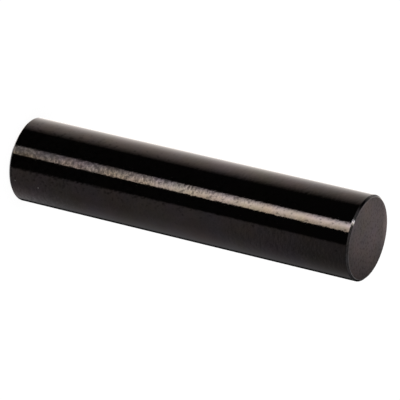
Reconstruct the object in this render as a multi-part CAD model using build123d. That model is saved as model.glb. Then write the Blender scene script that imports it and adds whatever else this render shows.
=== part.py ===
from build123d import *
import os

# A pin gauge: one plain steel pin, turned, hardened, ground and lapped to size, then blacked.
# It stands on its lower end. Its axis is +Z, and the origin is the centre of that end.
# All sizes are in millimetres.

# Driving dimensions
GAUGE_DIAMETER = 11.43
GAUGE_LENGTH = 50.8
EDGE_BREAK = 0.254
STONED_CORNER_RADIUS = 0.08

# The lapped cylinder reaches this radius, and each flat end stops short of it by the edge break.
BODY_RADIUS = GAUGE_DIAMETER / 2
END_FACE_RADIUS = BODY_RADIUS - EDGE_BREAK


def half_section():
    """One side of the pin's section, from the axis out to the lapped surface.

    A 45 degree edge break runs round both ends. Its four corners are stoned, so the
    flat end, the break and the cylinder meet in small tangent arcs and not in sharp rims.
    """
    outline = Polyline(
        (0, 0),
        (END_FACE_RADIUS, 0),
        (BODY_RADIUS, EDGE_BREAK),
        (BODY_RADIUS, GAUGE_LENGTH - EDGE_BREAK),
        (END_FACE_RADIUS, GAUGE_LENGTH),
        (0, GAUGE_LENGTH),
        close=True,
    )
    section = make_face(outline)
    rim_corners = section.vertices().filter_by(lambda corner: corner.X > BODY_RADIUS / 2)
    return fillet(rim_corners, STONED_CORNER_RADIUS)


def turned_pin():
    """The whole pin, as the half section swept once round its axis."""
    upright_section = Plane.XZ * half_section()
    return revolve(upright_section, Axis.Z)


gauge_pin = turned_pin()
gauge_pin.label = "gauge_pin"

os.makedirs("parts", exist_ok=True)
export_step(gauge_pin, "parts/gauge_pin.step")
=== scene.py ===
import bpy
import bmesh
from math import cos, pi, radians, sin, tan
from mathutils import Matrix, Vector


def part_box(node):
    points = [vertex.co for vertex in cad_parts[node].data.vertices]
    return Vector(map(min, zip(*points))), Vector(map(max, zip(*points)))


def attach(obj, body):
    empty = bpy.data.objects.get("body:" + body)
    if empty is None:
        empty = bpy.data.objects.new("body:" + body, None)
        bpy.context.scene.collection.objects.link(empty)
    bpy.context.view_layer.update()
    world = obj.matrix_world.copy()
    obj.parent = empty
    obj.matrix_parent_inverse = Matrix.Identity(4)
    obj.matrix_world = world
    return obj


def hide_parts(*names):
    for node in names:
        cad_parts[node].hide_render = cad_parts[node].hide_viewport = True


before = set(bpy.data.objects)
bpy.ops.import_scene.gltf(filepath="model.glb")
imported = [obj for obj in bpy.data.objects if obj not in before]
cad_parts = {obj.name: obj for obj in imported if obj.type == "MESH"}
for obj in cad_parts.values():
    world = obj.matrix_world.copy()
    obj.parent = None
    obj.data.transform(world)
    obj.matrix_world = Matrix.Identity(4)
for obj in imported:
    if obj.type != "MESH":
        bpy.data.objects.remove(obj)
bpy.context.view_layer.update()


# The gauge pin
# One piece of hardened steel, turned from bar, ground and lapped to size, then blacked in a
# hot oxide bath. Both ends are ground flat and square, with a fine stoned edge break.

NODE = "gauge_pin"
EDGE_BREAK = 0.000254
STONED_CORNER_RADIUS = 0.00008
BREAK_ANGLE = 45
SEGMENTS_ROUND = 384
SIDE_ROWS = 40
END_RINGS = 8
CORNER_STEPS = 6
BREAK_ROWS = 3

low_corner, high_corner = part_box(NODE)
body_radius = high_corner[0]
pin_length = high_corner[2] - low_corner[2]
pin_foot = low_corner[2]

GROUND_END, STONED_BREAK, LAPPED_SIDE = range(3)


def upper_end_profile():
    """Points from the middle of the end out and over the edge: radius, height, normal, finish."""
    corner_setback = STONED_CORNER_RADIUS * tan(radians(BREAK_ANGLE / 2))
    flat_radius = body_radius - EDGE_BREAK - corner_setback
    points = []
    for ring in range(1, END_RINGS + 1):
        points.append((flat_radius * ring / END_RINGS, pin_length, 0.0, 1.0, GROUND_END))
    inner_centre = (flat_radius, pin_length - STONED_CORNER_RADIUS)
    outer_centre = (body_radius - STONED_CORNER_RADIUS, pin_length - EDGE_BREAK - corner_setback)

    def on_arc(centre, angle):
        radius = centre[0] + STONED_CORNER_RADIUS * cos(angle)
        height = centre[1] + STONED_CORNER_RADIUS * sin(angle)
        return (radius, height, cos(angle), sin(angle), STONED_BREAK)

    for step in range(1, CORNER_STEPS + 1):
        points.append(on_arc(inner_centre, radians(90 - BREAK_ANGLE * step / CORNER_STEPS)))
    break_start = points[-1]
    break_facing = radians(BREAK_ANGLE)
    break_end = on_arc(outer_centre, break_facing)
    for row in range(1, BREAK_ROWS + 1):
        share = row / BREAK_ROWS
        radius = break_start[0] + (break_end[0] - break_start[0]) * share
        height = break_start[1] + (break_end[1] - break_start[1]) * share
        points.append((radius, height, cos(break_facing), sin(break_facing), STONED_BREAK))
    for step in range(1, CORNER_STEPS + 1):
        facing = radians(BREAK_ANGLE - BREAK_ANGLE * step / CORNER_STEPS)
        points.append(on_arc(outer_centre, facing))
    return points


def whole_profile():
    """The upper end, the straight side and the lower end, which mirrors the upper one."""
    upper = upper_end_profile()
    side_top = upper[-1][1]
    side_foot = pin_length - side_top
    side = []
    for row in range(1, SIDE_ROWS + 1):
        height = side_top + (side_foot - side_top) * row / SIDE_ROWS
        side.append((body_radius, height, 1.0, 0.0, LAPPED_SIDE))
    lower = []
    for index in range(len(upper) - 2, -1, -1):
        radius, height, outward, upward, _ = upper[index]
        finish = upper[index + 1][4]
        lower.append((radius, pin_length - height, outward, -upward, finish))
    return upper + side + lower


def turned_mesh(name, profile):
    """Sweeps the profile once round +Z, closes both ends and keeps the true turned normals."""
    shape = bmesh.new()
    normals = []
    rings = []
    top_centre = shape.verts.new((0, 0, pin_foot + profile[0][1]))
    normals.append((0, 0, 1))
    for radius, height, outward, upward, _ in profile:
        ring = []
        for segment in range(SEGMENTS_ROUND):
            angle = 2 * pi * segment / SEGMENTS_ROUND
            ring.append(shape.verts.new((radius * cos(angle), radius * sin(angle), pin_foot + height)))
            normals.append((outward * cos(angle), outward * sin(angle), upward))
        rings.append(ring)
    foot_centre = shape.verts.new((0, 0, pin_foot + profile[-1][1]))
    normals.append((0, 0, -1))
    for segment in range(SEGMENTS_ROUND):
        after = (segment + 1) % SEGMENTS_ROUND
        shape.faces.new((top_centre, rings[0][segment], rings[0][after])).material_index = GROUND_END
        shape.faces.new((foot_centre, rings[-1][after], rings[-1][segment])).material_index = GROUND_END
        for index in range(len(rings) - 1):
            upper, lower = rings[index], rings[index + 1]
            corners = (upper[segment], lower[segment], lower[after], upper[after])
            shape.faces.new(corners).material_index = profile[index + 1][4]
    mesh = bpy.data.meshes.new(name)
    shape.to_mesh(mesh)
    shape.free()
    mesh.polygons.foreach_set("use_smooth", [True] * len(mesh.polygons))
    mesh.normals_split_custom_set_from_vertices(normals)
    return mesh


pin = bpy.data.objects.new("blacked_pin", turned_mesh("blacked_pin", whole_profile()))
bpy.context.collection.objects.link(pin)
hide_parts(NODE)
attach(pin, "root")


def feed(tree, node, feeds):
    """Gives a node's inputs their plain values, or links from other nodes."""
    for socket, source in feeds.items():
        if isinstance(source, bpy.types.NodeSocket):
            tree.links.new(source, node.inputs[socket])
        else:
            node.inputs[socket].default_value = source


def add_node(tree, kind, feeds=None, **options):
    """Adds a shader node with its options set and its inputs fed."""
    node = tree.nodes.new(kind)
    for key, value in options.items():
        setattr(node, key, value)
    feed(tree, node, feeds or {})
    return node


def maths(tree, operation, *values):
    node = add_node(tree, "ShaderNodeMath", dict(enumerate(values)), operation=operation)
    return node.outputs[0]


def vector_maths(tree, operation, *values):
    node = add_node(tree, "ShaderNodeVectorMath", dict(enumerate(values)), operation=operation)
    return node.outputs[0]


def dot(tree, first, second):
    node = add_node(tree, "ShaderNodeVectorMath", {0: first, 1: second}, operation="DOT_PRODUCT")
    return node.outputs["Value"]


def between(tree, value, low, high, to_low=0.0, to_high=1.0):
    """Turns low..high into to_low..to_high with soft ends, and holds it there outside."""
    feeds = {"Value": value, "From Min": low, "From Max": high, "To Min": to_low, "To Max": to_high}
    node = add_node(tree, "ShaderNodeMapRange", feeds, interpolation_type="SMOOTHSTEP")
    return node.outputs["Result"]


def cloud(tree, place, size, detail, harshness=0.5):
    """Cloudy noise with features of about the given size in metres, and finer ones in them."""
    scale = maths(tree, "DIVIDE", 1.0, size)
    feeds = {"Vector": place, "Scale": scale, "Detail": detail, "Roughness": harshness}
    return add_node(tree, "ShaderNodeTexNoise", feeds)


def new_group(name, inputs, outputs):
    """An empty node group with named sockets, what it is given and what it gives back."""
    group = bpy.data.node_groups.new(name, "ShaderNodeTree")
    for label, kind in inputs.items():
        group.interface.new_socket(label, in_out="INPUT", socket_type="NodeSocket" + kind)
    for label, kind in outputs.items():
        group.interface.new_socket(label, in_out="OUTPUT", socket_type="NodeSocket" + kind)
    given = group.nodes.new("NodeGroupInput").outputs
    result = group.nodes.new("NodeGroupOutput").inputs
    return group, given, result


NOISE_MIDDLE = 0.5
UNTINTED = (1.0, 1.0, 1.0)
STRAW_TO_PLUM = (0.6, 0.0, 1.0)
FLECKS_START = 0.5
FLECKS_FULL = 0.62


def black_oxide_group():
    """Hot blacking: slow light and dark patches, faint temper tints and fine dark flecks.

    The flecks get denser with Fleck Cover, and along Fleck Lean by its length for each metre.
    """
    inputs = {
        "Colour": "Color",
        "Patch Size": "Float",
        "Patch Depth": "Float",
        "Tint Size": "Float",
        "Tint Depth": "Float",
        "Fleck Size": "Float",
        "Fleck Depth": "Float",
        "Fleck Cover": "Float",
        "Fleck Lean": "Vector",
        "Shade": "Float",
    }
    outputs = {"Colour": "Color", "Flecks": "Float", "Grain": "Float"}
    group, given, result = new_group("black_oxide", inputs, outputs)
    place = add_node(group, "ShaderNodeTexCoord").outputs["Object"]

    patches = cloud(group, place, given["Patch Size"], detail=2.0).outputs["Fac"]
    lighter = maths(group, "SUBTRACT", patches, NOISE_MIDDLE)
    patch_swing = maths(group, "MULTIPLY", lighter, given["Patch Depth"])
    # Shade carries the painted light and shade of the material, and is 1 where none is painted.
    tone = maths(group, "MULTIPLY", maths(group, "ADD", patch_swing, 1.0), given["Shade"])

    tints = cloud(group, place, given["Tint Size"], detail=4.0, harshness=0.62).outputs["Color"]
    redder_or_bluer = vector_maths(group, "SUBTRACT", tints, [NOISE_MIDDLE] * 3)
    tint_swing = vector_maths(group, "MULTIPLY", redder_or_bluer, STRAW_TO_PLUM)
    tint = vector_maths(group, "MULTIPLY_ADD", tint_swing, given["Tint Depth"], UNTINTED)

    grain = cloud(group, place, given["Fleck Size"], detail=3.0, harshness=0.55).outputs["Fac"]
    cover = maths(group, "ADD", given["Fleck Cover"], dot(group, place, given["Fleck Lean"]))
    flecks = between(group, maths(group, "ADD", grain, cover), FLECKS_START, FLECKS_FULL)
    darkening = maths(group, "MULTIPLY", flecks, given["Fleck Depth"])
    fleck_shade = maths(group, "SUBTRACT", 1.0, darkening)

    shade = maths(group, "MULTIPLY", tone, fleck_shade)
    tinted = vector_maths(group, "MULTIPLY", given["Colour"], tint)
    colour = vector_maths(group, "MULTIPLY", tinted, shade)
    group.links.new(colour, result["Colour"])
    group.links.new(flecks, result["Flecks"])
    group.links.new(grain, result["Grain"])
    return group


def tool_lines_group():
    """The marks of a wheel, a stone or a lap: fine broken lines, square to one direction."""
    inputs = {"Direction": "Vector", "Pitch": "Float", "Run": "Float"}
    group, given, result = new_group("tool_lines", inputs, {"Height": "Float"})
    place = add_node(group, "ShaderNodeTexCoord").outputs["Object"]
    steps_across = maths(group, "DIVIDE", dot(group, place, given["Direction"]), given["Pitch"])
    along = vector_maths(group, "DIVIDE", place, given["Run"])
    stretched = vector_maths(group, "MULTIPLY_ADD", given["Direction"], steps_across, along)
    lines = add_node(group, "ShaderNodeTexNoise", {"Vector": stretched, "Scale": 1.0, "Detail": 2.0})
    group.links.new(lines.outputs["Fac"], result["Height"])
    return group


DUST_LEFT_OUT = 0.6


def dust_group():
    """Round specks of dust, one to a cell of the spacing, with over half of the cells bare."""
    inputs = {"Spacing": "Float", "Speck Size": "Float"}
    group, given, result = new_group("dust", inputs, {"Dust": "Float"})
    place = add_node(group, "ShaderNodeTexCoord").outputs["Object"]
    scale = maths(group, "DIVIDE", 1.0, given["Spacing"])
    cells = add_node(group, "ShaderNodeTexVoronoi", {"Vector": place, "Scale": scale})
    reach = maths(group, "MULTIPLY", cells.outputs["Distance"], given["Spacing"])
    half_speck = maths(group, "MULTIPLY", given["Speck Size"], 0.5)
    specks = between(group, reach, given["Speck Size"], half_speck)
    pick = add_node(group, "ShaderNodeSeparateColor", {"Color": cells.outputs["Color"]}).outputs[0]
    kept = maths(group, "GREATER_THAN", pick, DUST_LEFT_OUT)
    group.links.new(maths(group, "MULTIPLY", specks, kept), result["Dust"])
    return group


black_oxide = black_oxide_group()
tool_lines = tool_lines_group()
dust = dust_group()

DUST_COLOUR = (0.12, 0.115, 0.11, 1)
# The sockets of a colour mix, by number.
MIX_SHARE, MIX_FIRST, MIX_SECOND, MIX_RESULT = 0, 6, 7, 2


def blacked_finish(
    name, oxide, lines, specks, roughness, fleck_roughness, line_height, grain_height, painted_shading=()
):
    """Blacked steel: the same three effects, with each finish's own values.

    Each painted shading row paints light and shade onto the oxide colour. A row gives a direction,
    where a change of tone starts and ends along it, and the share of the tone that is left at its end.
    """
    material = bpy.data.materials.new(name)
    material.use_nodes = True
    tree = material.node_tree
    shader = tree.nodes["Principled BSDF"]
    coat = add_node(tree, "ShaderNodeGroup", node_tree=black_oxide)
    marks = add_node(tree, "ShaderNodeGroup", node_tree=tool_lines)
    dirt = add_node(tree, "ShaderNodeGroup", node_tree=dust)
    feed(tree, coat, oxide)
    feed(tree, marks, lines)
    feed(tree, dirt, specks)
    place = add_node(tree, "ShaderNodeTexCoord").outputs["Object"]
    shade = 1.0
    # Painted light and shade: each row scales the colour along its direction, below 1 as painted shade
    # and above 1 as painted light.
    for direction, start, end, tone in painted_shading:
        painted_change = between(tree, dot(tree, place, direction), start, end, 1.0, tone)
        shade = maths(tree, "MULTIPLY", shade, painted_change)
    feed(tree, coat, {"Shade": shade})
    dusty = {
        MIX_SHARE: dirt.outputs["Dust"],
        MIX_FIRST: coat.outputs["Colour"],
        MIX_SECOND: DUST_COLOUR,
    }
    colour = add_node(tree, "ShaderNodeMix", dusty, data_type="RGBA").outputs[MIX_RESULT]
    coarse = between(tree, coat.outputs["Flecks"], 0.0, 1.0, roughness, fleck_roughness)
    rough = maths(tree, "MAXIMUM", coarse, dirt.outputs["Dust"])
    line_relief = maths(tree, "MULTIPLY", marks.outputs["Height"], line_height)
    relief = maths(tree, "MULTIPLY_ADD", coat.outputs["Grain"], -grain_height, line_relief)
    bump = add_node(tree, "ShaderNodeBump", {"Height": relief, "Distance": 1.0})
    tree.links.new(colour, shader.inputs["Base Color"])
    tree.links.new(maths(tree, "SUBTRACT", 1.0, dirt.outputs["Dust"]), shader.inputs["Metallic"])
    tree.links.new(rough, shader.inputs["Roughness"])
    tree.links.new(bump.outputs["Normal"], shader.inputs["Normal"])
    return material


MICRON = 0.000001
ALONG_PIN = (0, 0, 1)

# The two ends, left dull by the wheel. Painted shade darkens them towards +X, and painted light
# brightens their +Y rim.
ground_end = blacked_finish(
    "ground_end",
    oxide={
        "Colour": (0.101, 0.083, 0.083, 1),
        "Patch Size": 0.003,
        "Patch Depth": 0.45,
        "Tint Size": 0.003,
        "Tint Depth": 0.45,
        "Fleck Size": 0.0004,
        "Fleck Depth": 0.1,
        "Fleck Cover": 0.0,
        "Fleck Lean": (0, 0, 0),
    },
    lines={"Direction": (0.94, 0.34, 0), "Pitch": 0.00012, "Run": 0.004},
    specks={"Spacing": 0.0016, "Speck Size": 0.00008},
    roughness=0.48,
    fleck_roughness=0.6,
    line_height=1.5 * MICRON,
    grain_height=4.0 * MICRON,
    # Painted shade darker towards +X, and a painted lighter rim on the +Y side.
    painted_shading=[((1, 0, 0), -0.0025, 0.0078, 0.32), ((-0.35, 0.94, 0), 0.0035, 0.0058, 1.6)],
)
ground_shader = ground_end.node_tree.nodes["Principled BSDF"]
ground_shader.inputs["Specular Tint"].default_value = (0.5, 0.5, 0.5, 1)

# The edge break and its corners, rubbed with a fine stone.
stoned_break = blacked_finish(
    "stoned_break",
    oxide={
        "Colour": (0.078, 0.072, 0.075, 1),
        "Patch Size": 0.0012,
        "Patch Depth": 0.8,
        "Tint Size": 0.002,
        "Tint Depth": 0.5,
        "Fleck Size": 0.00025,
        "Fleck Depth": 0.5,
        "Fleck Cover": 0.0,
        "Fleck Lean": (0, 0, 0),
    },
    lines={"Direction": ALONG_PIN, "Pitch": 0.00006, "Run": 0.0012},
    specks={"Spacing": 0.0014, "Speck Size": 0.00008},
    roughness=0.09,
    fleck_roughness=0.15,
    line_height=0.6 * MICRON,
    grain_height=2.0 * MICRON,
)

# The side, lapped to a dark mirror. Its flecks crowd together towards the foot and the camera.
lapped_side = blacked_finish(
    "lapped_side",
    oxide={
        "Colour": (0.084, 0.0705, 0.067, 1),
        "Patch Size": 0.0018,
        "Patch Depth": 0.35,
        "Tint Size": 0.005,
        "Tint Depth": 0.7,
        "Fleck Size": 0.0005,
        "Fleck Depth": 0.5,
        "Fleck Cover": -0.348,
        "Fleck Lean": (-13, -72, -3),
    },
    lines={"Direction": ALONG_PIN, "Pitch": 0.00022, "Run": 0.0007},
    specks={"Spacing": 0.0020, "Speck Size": 0.0001},
    roughness=0.045,
    fleck_roughness=0.07,
    line_height=2.4 * MICRON,
    grain_height=7.5 * MICRON,
)

for finish in (ground_end, stoned_break, lapped_side):
    pin.data.materials.append(finish)


# The floor
# A plain sheet of white opal plastic that the pin stands on, lit from below and above. The
# pin doesn't mirror it, so that the polished side shows the soft lights of the studio.

FLOOR_SIDE = 6.0

half = FLOOR_SIDE / 2
corners = [(x, y, pin_foot) for x, y in ((-half, -half), (half, -half), (half, half), (-half, half))]
floor_mesh = bpy.data.meshes.new("floor")
floor_mesh.from_pydata(corners, [], [(0, 1, 2, 3)])
floor = bpy.data.objects.new("floor", floor_mesh)
bpy.context.collection.objects.link(floor)
floor.visible_glossy = False
opal = bpy.data.materials.new("opal_sheet")
opal.use_nodes = True
opal_values = {
    "Base Color": (0.14, 0.14, 0.14, 1),
    "Roughness": 1.0,
    "Specular IOR Level": 0.0,
    "Emission Color": (1, 1, 1, 1),
    "Emission Strength": 0.9,
}
feed(opal.node_tree, opal.node_tree.nodes["Principled BSDF"], opal_values)
floor_mesh.materials.append(opal)


# The studio
# Even white light falls on the floor. Round the pin, and seen only in it, stand soft cards and
# a leaning tube behind a window with slanting edges. Each card is as bright as its two lists
# say: the first from side to side, the second from low to high.

FLOOR_LIGHT = 1.0
DARK_ROOM = 0.015

# Angles are in degrees. A bearing of 0 is towards the camera, -90 is along -X and 180 is away
# behind the pin. A lean shifts a card sideways: two heights, and the shift at each of them.

# The backdrop, which lights the edge of the pin.
BACKDROP_ACROSS = [
    (-176, 0.0),
    (-171, 1.9),
    (-160, 1.55),
    (-148, 1.27),
    (-133, 1.18),
    (-120, 0.92),
    (-106, 0.66),
    (-99, 0.52),
    (-92, 0.32),
    (-84, 0.12),
    (-78, 0.0),
]
BACKDROP_UP = [
    (-28.7, 1.09),
    (-28, 1.11),
    (-27.1, 1.08),
    (-26.3, 1.05),
    (-24.7, 0.91),
    (-23.5, 0.84),
    (0, 0.45),
    (9, 0.5),
    (16, 0.75),
    (25, 0.3),
    (33, 0.0),
]
BACKDROP_LEAN = (-26.6, -24.0, 0.0, 5.5)

# The table, and the paler sill at its far side.
TABLE_ACROSS = [
    (28.5, 0.0),
    (33.5, 1.0),
    (90, 1.0),
    (119, 0.5),
    (128, 0.3),
    (140, 0.1),
    (146, 0.0),
]
TABLE_UP = [
    (-29.4, 0.25),
    (-28.85, 0.205),
    (-28.6, 0.163),
    (-27.85, 0.173),
    (-27.2, 0.235),
    (-26, 0.24),
    (-25.2, 0.17),
    (-24.5, 0.13),
    (-23.7, 0.105),
    (0, 0.105),
    (15, 0.0),
]
TABLE_LEAN = (-28.9, -27.6, -4.5, 0.0)
SILL_ACROSS = [
    (82, 0.0),
    (89.5, 0.02),
    (106.6, 0.105),
    (119, 0.17),
    (128, 0.19),
    (140, 0.2),
    (147, 0.12),
    (152, 0.0),
]
SILL_UP = [
    (-29.3, 2.1),
    (-29.15, 1.55),
    (-29.05, 1.2),
    (-28.9, 1.0),
    (-25, 1.0),
    (-24.4, 0.92),
    (0, 0.8),
    (12, 0.0),
]

# A white sheet far below, the dim walls of the room, and the soft light overhead.
SHEET_UP = [(-50, 0.55), (-42, 0.0)]
ROOM_ACROSS = [(-98, 0.0), (-80, 1.0), (150, 1.0), (160, 0.0)]
ROOM_UP = [(5, 0.0), (30, 0.32), (90, 0.32)]
OVERHEAD_ACROSS = [(138, 0.0), (152, 1.0), (180, 1.0)]
OVERHEAD_UP = [(12, 0.0), (24, 1.22), (70, 1.22), (90, 0.6)]

# The window is flat and faces the pin from one unit in front of it. Its middle and its half
# width change with height, and places across it are counted in half widths.
WINDOW_MIDDLE, WINDOW_MIDDLE_SLOPE = -0.5225, -0.267
WINDOW_HALF_WIDTH, WINDOW_WIDTH_SLOPE = 0.3045, 0.011
WINDOW_LEAST_DEPTH = 0.001
WINDOW_EDGES = [
    (-0.62, 0.0),
    (-0.42, 0.7),
    (-0.2, 0.9),
    (0, 0.98),
    (0.15, 1.0),
    (1.04, 1.0),
    (1.09, 0.0),
]

# The tube, its lower end, and where across the window its light turns from cool to warm.
TUBE_ACROSS = [
    (-0.9, 0.36),
    (-0.64, 0.5),
    (-0.46, 0.54),
    (-0.3, 0.6),
    (-0.14, 0.71),
    (0.0, 0.86),
    (0.14, 0.95),
    (0.28, 1.04),
    (0.4, 1.04),
    (0.55, 0.95),
    (0.7, 0.81),
    (0.9, 0.63),
    (1.1, 0.53),
    (1.27, 0.48),
]
TUBE_UP = [
    (-31, 0.87),
    (-29.4, 1.13),
    (-28.9, 1.09),
    (-28.6, 1.4),
    (-27.95, 3.0),
    (-27.1, 4.25),
    (-26.2, 5.7),
    (-25.3, 6.0),
    (-24.5, 5.3),
    (-23.5, 5.7),
    (0, 9.0),
]
TUBE_LEAN = (-28.6, -24.3, -0.62, 0.2)
TUBE_END_ACROSS = [(-0.55, 0.0), (-0.3, 1.0), (0.3, 1.0), (0.8, 0.0)]
TUBE_END_UP = [(-29.45, 1.5), (-29.3, 1.35), (-29.1, 0.6), (-28.95, 0.0)]
COOL_TO_WARM = (-0.6, 1.0)

PLAIN_WHITE = (1.0, 1.0, 1.0)
TABLE_WHITE = (1.0, 0.985, 1.03)
SOFT_WHITE = (1.08, 1.02, 0.98)
COOL_WHITE = (1.0, 1.0, 1.05)
WARM_WHITE = (1.03, 0.985, 0.82)


def level_at(tree, value, stops):
    """The level at a value, on straight runs between (value, level) stops."""
    first, last = stops[0][0], stops[-1][0]
    peak = max(level for _, level in stops)
    whole_run = {"Value": value, "From Min": first, "From Max": last}
    share = add_node(tree, "ShaderNodeMapRange", whole_run).outputs["Result"]
    levels = add_node(tree, "ShaderNodeValToRGB", {"Fac": share})
    ramp = levels.color_ramp
    ramp.elements.remove(ramp.elements[-1])
    for index, (at, level) in enumerate(stops):
        position = (at - first) / (last - first)
        stop = ramp.elements.new(position) if index else ramp.elements[0]
        stop.position = position
        stop.color = (level / peak, level / peak, level / peak, 1)
    return maths(tree, "MULTIPLY", levels.outputs["Color"], peak)


def card(tree, across, across_stops, up, up_stops):
    level_across = level_at(tree, across, across_stops)
    level_up = level_at(tree, up, up_stops)
    return maths(tree, "MULTIPLY", level_across, level_up)


world = bpy.data.worlds.new("studio")
bpy.context.scene.world = world
world.use_nodes = True
world.cycles.sampling_method = "NONE"
sky = world.node_tree
sky.nodes.clear()
looking = add_node(sky, "ShaderNodeTexCoord").outputs["Generated"]
sideways, back, upwards = add_node(sky, "ShaderNodeSeparateXYZ", {0: looking}).outputs
front = maths(sky, "MULTIPLY", back, -1.0)
bearing = maths(sky, "DEGREES", maths(sky, "ARCTAN2", sideways, front))
elevation = maths(sky, "DEGREES", maths(sky, "ARCSINE", upwards))
depth = maths(sky, "MAXIMUM", front, WINDOW_LEAST_DEPTH)
plane_up = maths(sky, "DIVIDE", upwards, depth)
plane_across = maths(sky, "DIVIDE", sideways, depth)
window_middle = maths(sky, "MULTIPLY_ADD", plane_up, WINDOW_MIDDLE_SLOPE, WINDOW_MIDDLE)
window_half_width = maths(sky, "MULTIPLY_ADD", plane_up, WINDOW_WIDTH_SLOPE, WINDOW_HALF_WIDTH)
off_middle = maths(sky, "SUBTRACT", plane_across, window_middle)
window_across = maths(sky, "DIVIDE", off_middle, window_half_width)
in_front = maths(sky, "GREATER_THAN", front, WINDOW_LEAST_DEPTH)
through_window = maths(sky, "MULTIPLY", level_at(sky, window_across, WINDOW_EDGES), in_front)
tube_across = maths(sky, "ADD", window_across, between(sky, elevation, *TUBE_LEAN))
whole_tube = card(sky, tube_across, TUBE_ACROSS, elevation, TUBE_UP)
tube = maths(sky, "MULTIPLY", whole_tube, through_window)
warm_tube = maths(sky, "MULTIPLY", tube, between(sky, window_across, *COOL_TO_WARM))
cool_tube = maths(sky, "SUBTRACT", tube, warm_tube)
whole_tube_end = card(sky, window_across, TUBE_END_ACROSS, elevation, TUBE_END_UP)
tube_end = maths(sky, "MULTIPLY", whole_tube_end, in_front)
backdrop_across = maths(sky, "ADD", bearing, between(sky, elevation, *BACKDROP_LEAN))
table_across = maths(sky, "ADD", bearing, between(sky, elevation, *TABLE_LEAN))
away = maths(sky, "ABSOLUTE", bearing)
cards = [
    (warm_tube, WARM_WHITE),
    (cool_tube, COOL_WHITE),
    (tube_end, COOL_WHITE),
    (card(sky, backdrop_across, BACKDROP_ACROSS, elevation, BACKDROP_UP), SOFT_WHITE),
    (card(sky, table_across, TABLE_ACROSS, elevation, TABLE_UP), TABLE_WHITE),
    (card(sky, bearing, SILL_ACROSS, elevation, SILL_UP), TABLE_WHITE),
    (level_at(sky, elevation, SHEET_UP), PLAIN_WHITE),
    (card(sky, bearing, ROOM_ACROSS, elevation, ROOM_UP), PLAIN_WHITE),
    (card(sky, away, OVERHEAD_ACROSS, elevation, OVERHEAD_UP), PLAIN_WHITE),
]
glow = (DARK_ROOM, DARK_ROOM, DARK_ROOM)
for brightness, tint in cards:
    glow = vector_maths(sky, "MULTIPLY_ADD", brightness, tint, glow)
mirrored = add_node(sky, "ShaderNodeBackground", {"Color": glow}).outputs[0]
even_light = {"Color": (1, 1, 1, 1), "Strength": FLOOR_LIGHT}
even = add_node(sky, "ShaderNodeBackground", even_light).outputs[0]
is_mirrored = add_node(sky, "ShaderNodeLightPath").outputs["Is Glossy Ray"]
light = add_node(sky, "ShaderNodeMixShader", {0: is_mirrored, 1: even, 2: mirrored}).outputs[0]
add_node(sky, "ShaderNodeOutputWorld", {"Surface": light})
bpy.context.scene.view_settings.view_transform = "Standard"


# The camera
# A long lens above the pin, rolled so that the standing pin lies across the frame with its
# upper end near the right edge, as in the photograph.

PHOTO_SIDE_PX = 400
FOCAL_LENGTH_PX = 3694
NEAR_END_CENTRE_PX = (367.94, 238.56)
NEAR_END_DISTANCE = 0.4735
ELEVATION = radians(26.49)
AXIS_BELOW_LEVEL = radians(13.33)

camera_data = bpy.data.cameras.new("camera")
camera_data.lens = camera_data.sensor_width * FOCAL_LENGTH_PX / PHOTO_SIDE_PX
camera = bpy.data.objects.new("camera", camera_data)
bpy.context.collection.objects.link(camera)
roll = pi / 2 + AXIS_BELOW_LEVEL
turn = Matrix.Rotation(pi / 2 - ELEVATION, 3, "X") @ Matrix.Rotation(roll, 3, "Z")
right_px = NEAR_END_CENTRE_PX[0] - PHOTO_SIDE_PX / 2
up_px = PHOTO_SIDE_PX / 2 - NEAR_END_CENTRE_PX[1]
near_end_ray = Vector((right_px / FOCAL_LENGTH_PX, up_px / FOCAL_LENGTH_PX, -1))
near_end_from_camera = near_end_ray * NEAR_END_DISTANCE
near_end = Vector((0, 0, pin_foot + pin_length))
camera.location = near_end - turn @ near_end_from_camera
camera.rotation_euler = turn.to_euler()
camera_data.clip_start = 0.01
camera_data.clip_end = 20
bpy.context.scene.camera = camera
